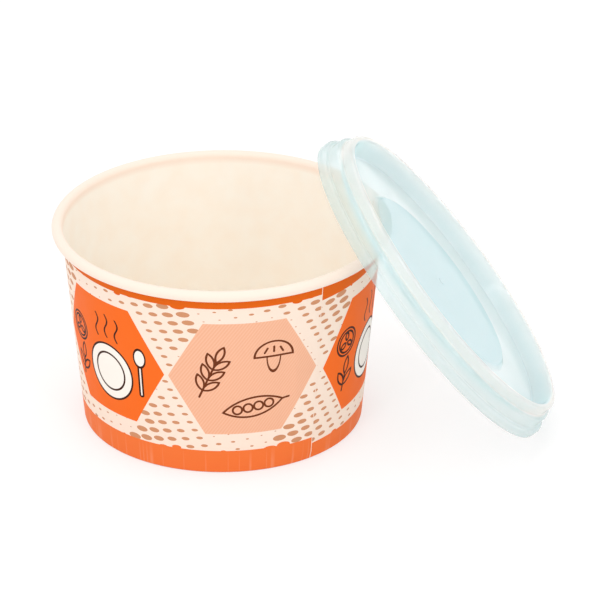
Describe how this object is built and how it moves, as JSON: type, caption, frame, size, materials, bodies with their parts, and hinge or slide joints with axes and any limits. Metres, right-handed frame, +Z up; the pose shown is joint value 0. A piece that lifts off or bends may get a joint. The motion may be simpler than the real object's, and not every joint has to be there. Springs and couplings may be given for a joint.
{
  "type": "disposable soup bowl with lid",
  "caption": "Tapered paper soup bowl with a rolled rim, a lapped side seam and a recessed base, with its clear plastic lid taken off and leaning on the rim.",
  "frame": {"origin": "centre of the bowl's foot, on the surface that it stands on", "axes": "+Z up along the bowl's axis, +X towards the lid that leans on the rim"},
  "size_m": [0.1451, 0.108, 0.0839],
  "materials": {
    "printed_board": "printed and coated, satin",
    "coated_board": "coated, satin",
    "clear_plastic": "moulded, translucent"
  },
  "bodies": {
    "root": {"bowl_wall": "printed_board", "bowl_base": "coated_board", "lid": "clear_plastic"}
  },
  "joints": []
}
